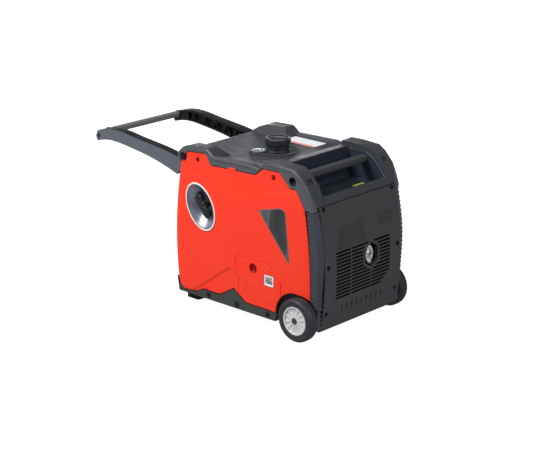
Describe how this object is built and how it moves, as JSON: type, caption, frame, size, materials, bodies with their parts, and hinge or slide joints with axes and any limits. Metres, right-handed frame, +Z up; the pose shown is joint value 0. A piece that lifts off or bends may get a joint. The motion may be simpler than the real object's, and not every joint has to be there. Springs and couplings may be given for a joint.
{
  "type": "inverter generator",
  "caption": "Closed-case inverter generator with bowed side covers, recoil starter dish, louvred exhaust end, rear wheels and a fold-out truss towing handle.",
  "frame": {"origin": "on the floor, under the middle of the whole object's box with the handle out", "axes": "+X towards the exhaust and wheels, +Y towards the air filter side, +Z up"},
  "size_m": [1.0163, 0.482, 0.558],
  "materials": {
    "red_plastic": "satin",
    "charcoal_plastic": "matte",
    "guard_plastic": "matte",
    "tray_plastic": "matte",
    "arm_plastic": "matte",
    "grip_foam": "matte",
    "rubber": "matte",
    "tyre": "matte",
    "hub_silver": "satin",
    "dish_silver": "satin",
    "rope": "braided",
    "steel": "brushed",
    "dark_steel": "satin",
    "aluminium": "cast",
    "cast_iron": "cast",
    "brass": "satin",
    "clear": "clear",
    "filter_foam": "foam",
    "button_yellow": "satin",
    "button_red": "satin",
    "screw_red": "satin"
  },
  "bodies": {
    "housing": {"base_tray": "tray_plastic", "starter_side_cover": "red_plastic", "filter_side_cover": "red_plastic", "service_hatches": "red_plastic", "top_cover": "charcoal_plastic", "exhaust_end_cover": "charcoal_plastic", "control_end_cover": "charcoal_plastic", "rear_corner_guards": "guard_plastic", "carry_recess_tub": "charcoal_plastic", "carry_bar": "charcoal_plastic", "cover_screws": "screw_red", "handle_pivot_bolts": "dark_steel", "starter_dish": "dish_silver", "starter_rope": "rope", "recoil_housing": "dark_steel", "filler_escutcheon": "charcoal_plastic", "fuel_gauge": "clear", "fuel_tank": "tray_plastic", "crankcase": "aluminium", "cylinder_head": "aluminium", "valve_cover": "dark_steel", "spark_plug": "steel", "carburettor": "aluminium", "air_filter_box": "charcoal_plastic", "air_filter_element": "filter_foam", "muffler": "dark_steel", "exhaust_outlet": "steel", "engine_mounts": "rubber", "stator": "cast_iron", "inverter_module": "aluminium", "battery": "charcoal_plastic", "control_plate": "charcoal_plastic", "outlets": "charcoal_plastic", "parallel_jacks": "brass", "ground_stud": "brass", "display_lens": "clear", "axle": "steel", "front_feet": "rubber"},
    "handle": {"handle_arms": "arm_plastic", "handle_grip": "grip_foam"},
    "wheel_left": {"tyre_left": "tyre", "wheel_hub_left": "hub_silver"},
    "wheel_right": {"tyre_right": "tyre", "wheel_hub_right": "hub_silver"},
    "fuel_cap_plug": {"fuel_cap_core": "charcoal_plastic", "fuel_cap_gasket": "rubber"},
    "fuel_cap_grip": {"fuel_cap_shell": "charcoal_plastic"},
    "starter_handle": {"starter_grip": "rubber"},
    "recoil_reel": {"recoil_reel": "charcoal_plastic"},
    "crank": {"crankshaft": "steel", "rotor": "cast_iron", "cooling_fan": "charcoal_plastic"},
    "engine_switch": {"engine_switch_knob": "button_red"},
    "eco_switch": {"eco_rocker": "charcoal_plastic"},
    "start_button": {"start_button": "button_yellow"},
    "breaker_left": {"breaker_button_left": "charcoal_plastic"},
    "breaker_right": {"breaker_button_right": "charcoal_plastic"},
    "flap_left": {"outlet_flap_left": "guard_plastic"},
    "flap_right": {"outlet_flap_right": "guard_plastic"},
    "oil_cap": {"oil_filler_cap": "button_yellow"}
  },
  "joints": [
    {"name": "handle_fold", "type": "hinge", "parent": "housing", "child": "handle", "pos_m": [-0.077, 0, 0.498], "axis": [0, -1, 0], "range_deg": [0, 78]},
    {"name": "wheel_left_spin", "type": "hinge", "parent": "housing", "child": "wheel_left", "pos_m": [0.431, 0, 0.07], "axis": [0, 1, 0], "continuous": true},
    {"name": "wheel_right_spin", "type": "hinge", "parent": "housing", "child": "wheel_right", "pos_m": [0.431, 0, 0.07], "axis": [0, 1, 0], "continuous": true},
    {"name": "fuel_cap_lift", "type": "slide", "parent": "housing", "child": "fuel_cap_plug", "axis": [0, 0, 1], "range_m": [0, 0.06]},
    {"name": "fuel_cap_turn", "type": "hinge", "parent": "fuel_cap_plug", "child": "fuel_cap_grip", "pos_m": [0.145, 0, 0.545], "axis": [0, 0, 1], "range_deg": [0, 120]},
    {"name": "starter_pull", "type": "slide", "parent": "housing", "child": "starter_handle", "axis": [0, -1, 0], "range_m": [0, 0.55], "stiffness_N_per_m": 8, "springref_m": -0.3, "deforming": ["starter_rope"]},
    {"name": "recoil_reel_spin", "type": "hinge", "parent": "housing", "child": "recoil_reel", "pos_m": [0.003, 0, 0.205], "axis": [1, 0, 0], "range_deg": [0, 600]},
    {"name": "crank_spin", "type": "hinge", "parent": "housing", "child": "crank", "pos_m": [0.182, 0, 0.205], "axis": [1, 0, 0], "continuous": true},
    {"name": "engine_switch_turn", "type": "hinge", "parent": "housing", "child": "engine_switch", "pos_m": [-0.093, -0.095, 0.395], "axis": [-1, 0, 0], "range_deg": [0, 90]},
    {"name": "eco_rock", "type": "hinge", "parent": "housing", "child": "eco_switch", "pos_m": [-0.089, 0, 0.395], "axis": [0, 1, 0], "range_deg": [0, 12]},
    {"name": "start_press", "type": "slide", "parent": "housing", "child": "start_button", "axis": [1, 0, 0], "range_m": [0, 0.003], "stiffness_N_per_m": 400},
    {"name": "breaker_left_press", "type": "slide", "parent": "housing", "child": "breaker_left", "axis": [1, 0, 0], "range_m": [0, 0.003], "stiffness_N_per_m": 300},
    {"name": "breaker_right_press", "type": "slide", "parent": "housing", "child": "breaker_right", "axis": [1, 0, 0], "range_m": [0, 0.003], "stiffness_N_per_m": 300},
    {"name": "flap_left_open", "type": "hinge", "parent": "housing", "child": "flap_left", "pos_m": [-0.098, 0.08, 0.29], "axis": [0, 1, 0], "range_deg": [0, 110], "stiffness_Nm_per_rad": 0.01, "springref_deg": -17.19},
    {"name": "flap_right_open", "type": "hinge", "parent": "housing", "child": "flap_right", "pos_m": [-0.098, -0.08, 0.29], "axis": [0, 1, 0], "range_deg": [0, 110], "stiffness_Nm_per_rad": 0.01, "springref_deg": -17.19},
    {"name": "oil_cap_turn", "type": "hinge", "parent": "housing", "child": "oil_cap", "pos_m": [0.242, -0.075, 0.262], "axis": [0, 0, 1], "range_deg": [0, 720]}
  ],
  "couplings": [
    {"joint": "recoil_reel_spin", "follows": "starter_pull", "rad_per_m": 18.182}
  ]
}
